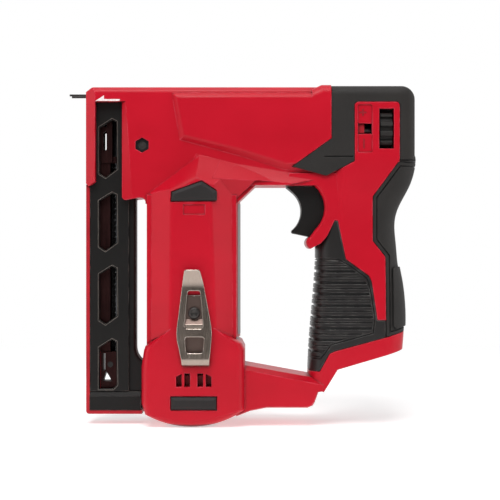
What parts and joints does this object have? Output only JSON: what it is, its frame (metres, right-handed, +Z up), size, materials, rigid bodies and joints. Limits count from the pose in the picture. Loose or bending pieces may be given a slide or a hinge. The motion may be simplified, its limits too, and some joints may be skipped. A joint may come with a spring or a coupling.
{
  "type": "cordless crown stapler",
  "caption": "Hand held cordless crown stapler with a sliding bottom loading magazine, a trigger grip, a power thumbwheel and a belt clip",
  "frame": {"origin": "where the staple leaves the work face, on the middle plane", "axes": "+X runs back from the nose to the head, +Z is up along the column and handle, Y is across the tool"},
  "size_m": [0.2199, 0.0606, 0.2143],
  "materials": {
    "red_plastic": "moulded nylon, fine texture",
    "drawer_red": "moulded nylon",
    "head_grey": "soft overmould, fine grain",
    "grip_black": "soft overmould, matt",
    "black_plastic": "glass filled nylon",
    "clip_steel": "satin nickel",
    "steel": "bright steel",
    "dark_steel": "blackened steel",
    "spring_steel": "oiled spring wire",
    "case_metal": "die cast",
    "brass": "turned and stamped brass",
    "board": "coated glass fibre board"
  },
  "bodies": {
    "frame": {"housing_left": "red_plastic", "housing_right": "red_plastic", "head_cover_left": "head_grey", "head_cover_right": "head_grey", "rear_grip_left": "head_grey", "rear_grip_right": "head_grey", "front_grip_left": "grip_black", "front_grip_right": "grip_black", "upper_bumpers": "grip_black", "lower_bumpers": "grip_black", "striker_bumper": "grip_black", "magazine_body": "black_plastic", "trigger_switch": "black_plastic", "terminal_block": "black_plastic", "end_bell": "black_plastic", "belt_clip": "clip_steel", "clip_screw": "steel", "housing_screws": "steel", "nose_bolt": "steel", "nose_nut": "steel", "guide_rod": "steel", "staple": "steel", "motor_can": "steel", "output_bearing": "steel", "lower_bearing": "steel", "ring_gear": "dark_steel", "motor_magnets": "dark_steel", "main_spring": "spring_steel", "trigger_spring": "spring_steel", "gearbox_case": "case_metal", "clip_inserts": "brass", "battery_contacts": "brass", "circuit_board": "board"},
    "trigger": {"trigger": "black_plastic"},
    "driver": {"striker": "dark_steel", "driver_blade": "steel"},
    "power_wheel": {"power_wheel": "black_plastic", "adjuster_screw": "steel"},
    "power_seat": {"spring_seat": "dark_steel", "power_indicator": "drawer_red"},
    "rotor": {"rotor": "dark_steel", "sun_gear": "dark_steel", "fan": "black_plastic"},
    "carrier": {"carrier": "dark_steel", "planet_pins": "steel", "lifter_wheel": "dark_steel", "lifter_pin": "steel"},
    "planet_1": {"planet_gear_1": "dark_steel"},
    "planet_2": {"planet_gear_2": "dark_steel"},
    "planet_3": {"planet_gear_3": "dark_steel"},
    "drawer": {"drawer_rail": "drawer_red", "staple_rail": "dark_steel", "end_bracket": "dark_steel", "bracket_pin": "steel", "spring_rod": "steel", "pusher_spring": "spring_steel", "latch_spring": "spring_steel"},
    "pusher": {"pusher": "dark_steel"},
    "latch_left": {"latch_left": "black_plastic"},
    "latch_right": {"latch_right": "black_plastic"}
  },
  "joints": [
    {"name": "trigger_pull", "type": "slide", "parent": "frame", "child": "trigger", "axis": [1, 0, 0], "range_m": [0, 0.007], "stiffness_N_per_m": 500, "springref_m": -0.004, "deforming": ["trigger_spring"]},
    {"name": "driver_stroke", "type": "slide", "parent": "frame", "child": "driver", "axis": [1, 0, 0], "range_m": [0, 0.018], "stiffness_N_per_m": 3000, "springref_m": -0.02, "deforming": ["main_spring"]},
    {"name": "power_dial", "type": "hinge", "parent": "frame", "child": "power_wheel", "pos_m": [0.189, 0, -0.0223], "axis": [1, 0, 0], "range_deg": [-361, 361]},
    {"name": "power_seat_slide", "type": "slide", "parent": "frame", "child": "power_seat", "axis": [1, 0, 0], "range_m": [-0.004, 0.004]},
    {"name": "rotor_spin", "type": "hinge", "parent": "frame", "child": "rotor", "pos_m": [0.0676, 0, -0.1], "axis": [0, 0, 1], "continuous": true},
    {"name": "carrier_spin", "type": "hinge", "parent": "frame", "child": "carrier", "pos_m": [0.0676, 0, -0.06], "axis": [0, 0, 1], "continuous": true},
    {"name": "planet_1_spin", "type": "hinge", "parent": "carrier", "child": "planet_1", "pos_m": [0.0796, 0, -0.067], "axis": [0, 0, 1], "continuous": true},
    {"name": "planet_2_spin", "type": "hinge", "parent": "carrier", "child": "planet_2", "pos_m": [0.0616, 0.01039, -0.067], "axis": [0, 0, 1], "continuous": true},
    {"name": "planet_3_spin", "type": "hinge", "parent": "carrier", "child": "planet_3", "pos_m": [0.0616, -0.01039, -0.067], "axis": [0, 0, 1], "continuous": true},
    {"name": "drawer_slide", "type": "slide", "parent": "frame", "child": "drawer", "axis": [0, 0, -1], "range_m": [0, 0.11]},
    {"name": "pusher_slide", "type": "slide", "parent": "drawer", "child": "pusher", "axis": [0, 0, -1], "range_m": [0, 0.095], "stiffness_N_per_m": 50, "springref_m": -0.03, "deforming": ["pusher_spring"]},
    {"name": "latch_left_press", "type": "slide", "parent": "drawer", "child": "latch_left", "axis": [0, 1, 0], "range_m": [0, 0.0016], "stiffness_N_per_m": 900, "springref_m": -0.001, "deforming": ["latch_spring"]},
    {"name": "latch_right_press", "type": "slide", "parent": "drawer", "child": "latch_right", "axis": [0, -1, 0], "range_m": [0, 0.0016], "stiffness_N_per_m": 900, "springref_m": -0.001}
  ],
  "couplings": [
    {"joint": "power_dial", "follows": "power_seat_slide", "rad_per_m": -1570.8},
    {"joint": "carrier_spin", "follows": "rotor_spin", "ratio": 0.2},
    {"joint": "planet_1_spin", "follows": "rotor_spin", "ratio": -0.53333},
    {"joint": "planet_2_spin", "follows": "rotor_spin", "ratio": -0.53333},
    {"joint": "planet_3_spin", "follows": "rotor_spin", "ratio": -0.53333}
  ]
}
